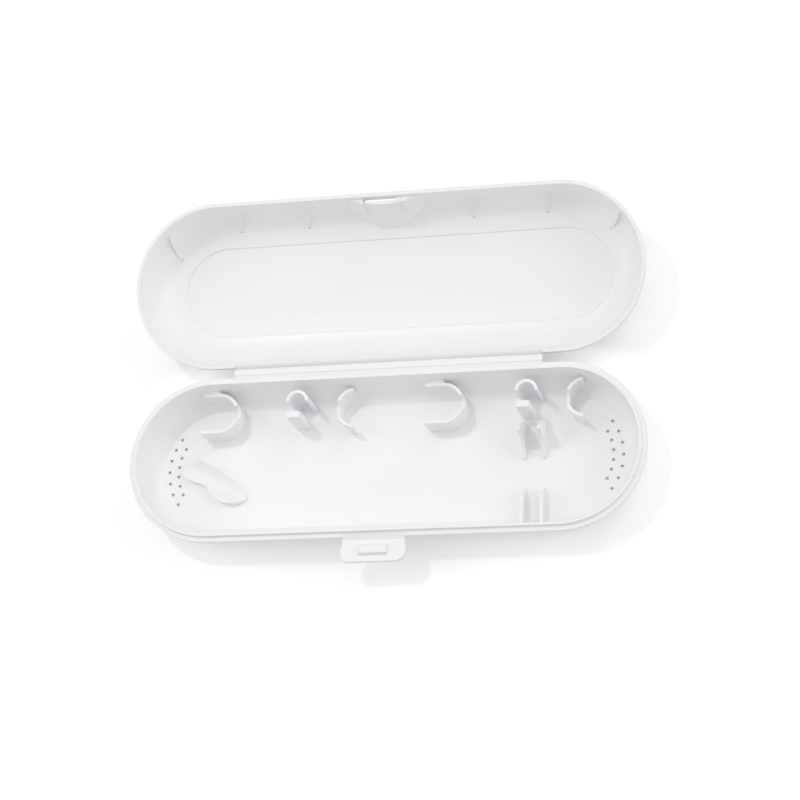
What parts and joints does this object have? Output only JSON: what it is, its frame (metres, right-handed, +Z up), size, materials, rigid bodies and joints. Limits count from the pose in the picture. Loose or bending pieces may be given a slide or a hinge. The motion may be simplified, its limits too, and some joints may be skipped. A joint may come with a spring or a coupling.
{
  "type": "toothbrush travel case",
  "caption": "Hinged clamshell travel case for an electric toothbrush, lying open, with holders for the handle and spare brushes, air holes and a front latch flap.",
  "frame": {"origin": "middle of the base's flat underside", "axes": "+X along the case, +Y from the latch side to the hinge and the open lid, +Z up out of the open base"},
  "size_m": [0.24, 0.171, 0.0352],
  "materials": {
    "base_plastic": "satin",
    "holder_plastic": "satin",
    "lid_plastic": "satin",
    "hinge_plastic": "satin",
    "latch_plastic": "satin"
  },
  "bodies": {
    "base": {"base_tray": "base_plastic", "brush_cup_left": "holder_plastic", "brush_cup_right": "holder_plastic", "head_stop_left": "holder_plastic", "head_stop_right": "holder_plastic", "neck_clip_left": "holder_plastic", "neck_clip_right": "holder_plastic", "saddle_rib_left": "holder_plastic", "saddle_rib_right": "holder_plastic", "handle_cradle": "holder_plastic", "hinge_web_base": "hinge_plastic", "latch_web": "hinge_plastic"},
    "strap": {"hinge_strap": "hinge_plastic"},
    "lid": {"lid_shell": "lid_plastic", "lid_rib_1": "lid_plastic", "lid_rib_2": "lid_plastic", "lid_rib_3": "lid_plastic", "lid_rib_4": "lid_plastic", "lid_rib_5": "lid_plastic", "lid_rib_6": "lid_plastic", "hinge_web_lid": "hinge_plastic"},
    "latch": {"latch_flap": "latch_plastic", "latch_hook": "latch_plastic"}
  },
  "joints": [
    {"name": "strap_fold", "type": "hinge", "parent": "base", "child": "strap", "pos_m": [0, 0.0399, 0.0175], "axis": [1, 0, 0], "range_deg": [0, 90]},
    {"name": "lid_fold", "type": "hinge", "parent": "strap", "child": "lid", "pos_m": [0, 0.0431, 0.0175], "axis": [1, 0, 0], "range_deg": [0, 78.12]},
    {"name": "latch_fold", "type": "hinge", "parent": "base", "child": "latch", "pos_m": [0, -0.03935, 0.0184], "axis": [-1, 0, 0], "range_deg": [0, 90]}
  ],
  "couplings": [
    {"joint": "strap_fold", "follows": "lid_fold", "ratio": 1.152}
  ]
}
